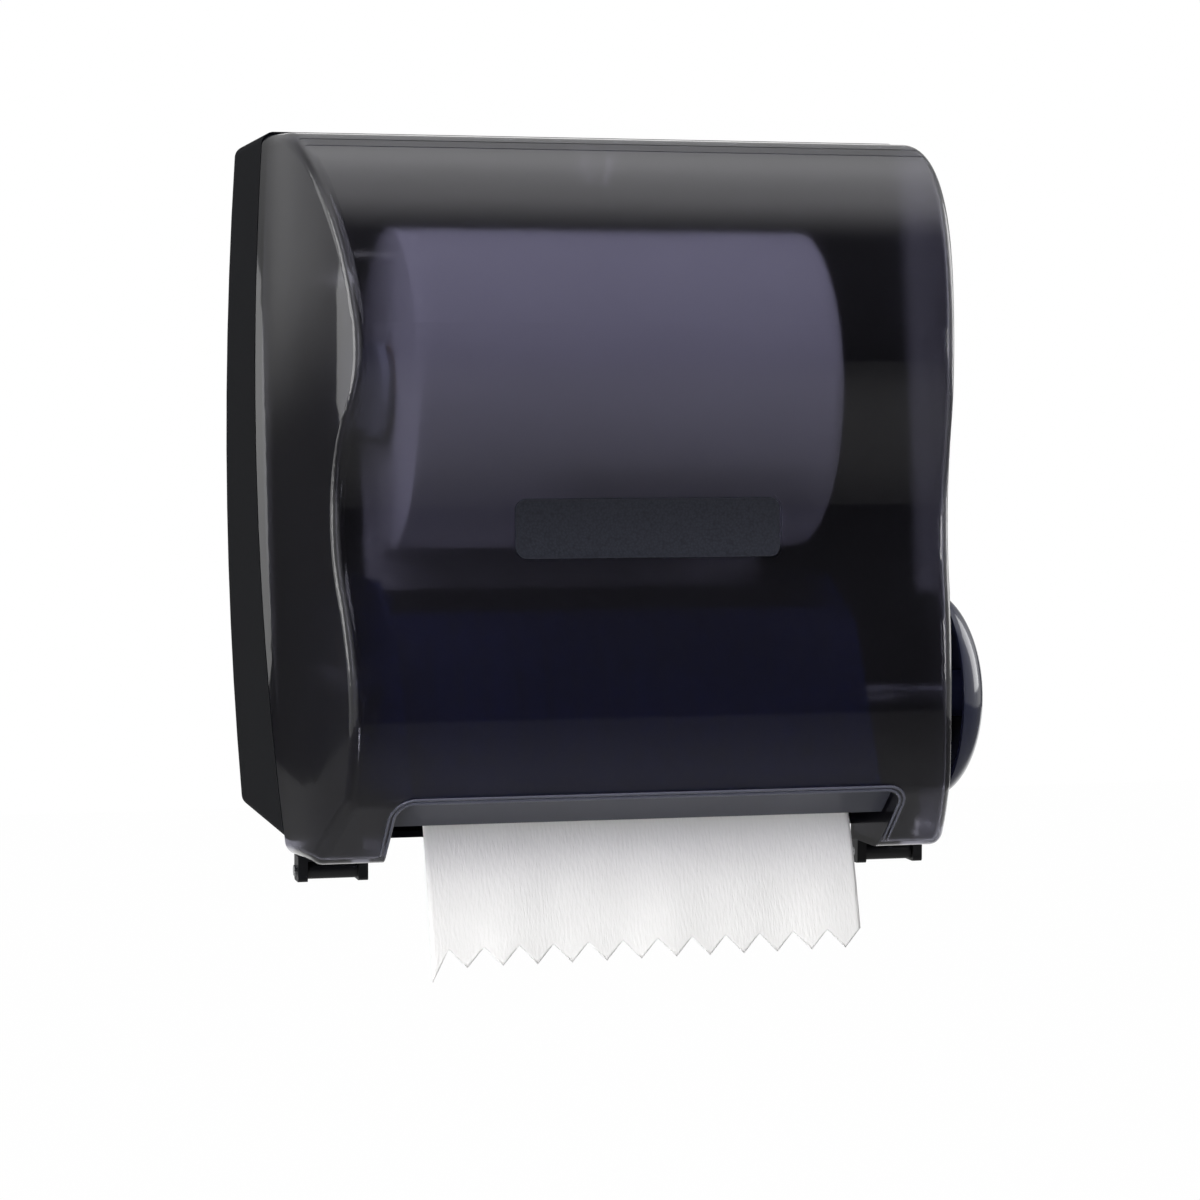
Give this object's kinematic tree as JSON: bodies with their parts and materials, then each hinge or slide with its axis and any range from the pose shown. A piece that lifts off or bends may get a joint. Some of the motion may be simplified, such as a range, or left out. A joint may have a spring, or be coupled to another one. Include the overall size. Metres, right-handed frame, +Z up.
{
  "type": "hand towel dispenser",
  "caption": "Wall-hung roll towel dispenser: dark rear case, smoked cover hinged at the bottom, feed drum with hand wheel, roll arms and a torn towel tail.",
  "frame": {"origin": "centre of the wall screw pattern on the case's wall face", "axes": "+Z up, +Y into the wall, +X to the hand wheel's side"},
  "size_m": [0.3507, 0.234, 0.3878],
  "materials": {
    "case_plastic": "fine textured matt black",
    "hinge_plastic": "matt black",
    "cover_smoke": "gloss translucent smoke blue",
    "label_plastic": "fine grained, bare",
    "steel": "plain bright steel",
    "lock_metal": "plated",
    "chassis_plastic": "plain dark grey",
    "bush_plastic": "natural acetal",
    "drum_plastic": "plain black",
    "wheel_smoke": "gloss smoke",
    "roller_rubber": "ground rubber",
    "guide_plastic": "semi-gloss dark blue grey",
    "nose_plastic": "satin grey",
    "arm_plastic": "plain dark grey",
    "towel_paper": "embossed white paper",
    "core_board": "kraft board"
  },
  "bodies": {
    "case": {"rear_case": "case_plastic", "lock_keeper": "case_plastic", "hinge_knuckle_left": "hinge_plastic", "hinge_knuckle_right": "hinge_plastic", "chassis_left": "chassis_plastic", "chassis_right": "chassis_plastic", "chassis_screw_left_lower": "steel", "chassis_screw_left_upper": "steel", "chassis_screw_right_lower": "steel", "chassis_screw_right_upper": "steel", "drum_bush_left": "bush_plastic", "drum_bush_right": "bush_plastic", "front_guide": "guide_plastic", "rear_guide": "guide_plastic", "nose_strip": "nose_plastic", "guide_bar": "steel", "pinch_rod": "steel", "spring_post": "steel", "index_spring": "steel", "arm_pin_left": "steel", "arm_pin_right": "steel", "towel_tail": "towel_paper"},
    "cover": {"front_cover": "cover_smoke", "label_plate": "label_plastic", "hinge_yoke_left": "hinge_plastic", "hinge_yoke_right": "hinge_plastic", "hinge_pin_left": "steel", "hinge_pin_right": "steel", "lock_sleeve": "lock_metal"},
    "lock": {"lock_barrel": "lock_metal", "lock_tongue": "lock_metal"},
    "drum": {"feed_drum": "drum_plastic", "drum_cap_left": "drum_plastic", "drum_cap_right": "drum_plastic", "drum_shaft": "steel", "hand_wheel": "wheel_smoke", "drum_crank": "chassis_plastic", "knife_rod": "steel"},
    "knife": {"knife_carrier": "chassis_plastic", "knife_blade": "steel"},
    "pinch_frame": {"pinch_arm_left": "chassis_plastic", "pinch_arm_right": "chassis_plastic"},
    "pinch": {"pinch_roller": "roller_rubber", "pinch_axle": "steel"},
    "arm_left": {"roll_arm_left": "arm_plastic", "roll_hub_left": "arm_plastic"},
    "arm_right": {"roll_arm_right": "arm_plastic", "roll_hub_right": "arm_plastic"},
    "roll": {"towel_roll": "towel_paper", "roll_core": "core_board"}
  },
  "joints": [
    {"name": "cover_hinge", "type": "hinge", "parent": "case", "child": "cover", "pos_m": [0, -0.146, -0.179], "axis": [1, 0, 0], "range_deg": [0, 100], "deforming": ["towel_tail"]},
    {"name": "lock_turn", "type": "hinge", "parent": "cover", "child": "lock", "pos_m": [0, -0.112, 0.15], "axis": [0, 0, -1], "range_deg": [0, 90]},
    {"name": "drum_spin", "type": "hinge", "parent": "case", "child": "drum", "pos_m": [0, -0.124, -0.105], "axis": [1, 0, 0], "continuous": true, "deforming": ["index_spring"]},
    {"name": "knife_swing", "type": "hinge", "parent": "drum", "child": "knife", "pos_m": [0, -0.11395, -0.13159], "axis": [-1, 0, 0], "range_deg": [0, 45], "stiffness_Nm_per_rad": 0.05, "springref_deg": -11.46},
    {"name": "pinch_lift", "type": "hinge", "parent": "case", "child": "pinch_frame", "pos_m": [0, -0.072, -0.056], "axis": [-1, 0, 0], "range_deg": [0, 10], "stiffness_Nm_per_rad": 1, "springref_deg": -17.19},
    {"name": "pinch_spin", "type": "hinge", "parent": "pinch_frame", "child": "pinch", "pos_m": [0, -0.10312, -0.06023], "axis": [1, 0, 0], "continuous": true},
    {"name": "roll_spin", "type": "hinge", "parent": "case", "child": "roll", "pos_m": [0, -0.108, 0.044], "axis": [1, 0, 0], "continuous": true},
    {"name": "arm_left_swing", "type": "hinge", "parent": "case", "child": "arm_left", "pos_m": [-0.1065, -0.016, 0.044], "axis": [0, 0, -1], "range_deg": [0, 11], "stiffness_Nm_per_rad": 1.5, "springref_deg": -5.73},
    {"name": "arm_right_swing", "type": "hinge", "parent": "case", "child": "arm_right", "pos_m": [0.1065, -0.016, 0.044], "axis": [0, 0, 1], "range_deg": [0, 11], "stiffness_Nm_per_rad": 1.5, "springref_deg": -5.73}
  ],
  "couplings": [
    {"joint": "pinch_spin", "follows": "drum_spin", "ratio": -5},
    {"joint": "roll_spin", "follows": "drum_spin", "ratio": -0.52632}
  ]
}
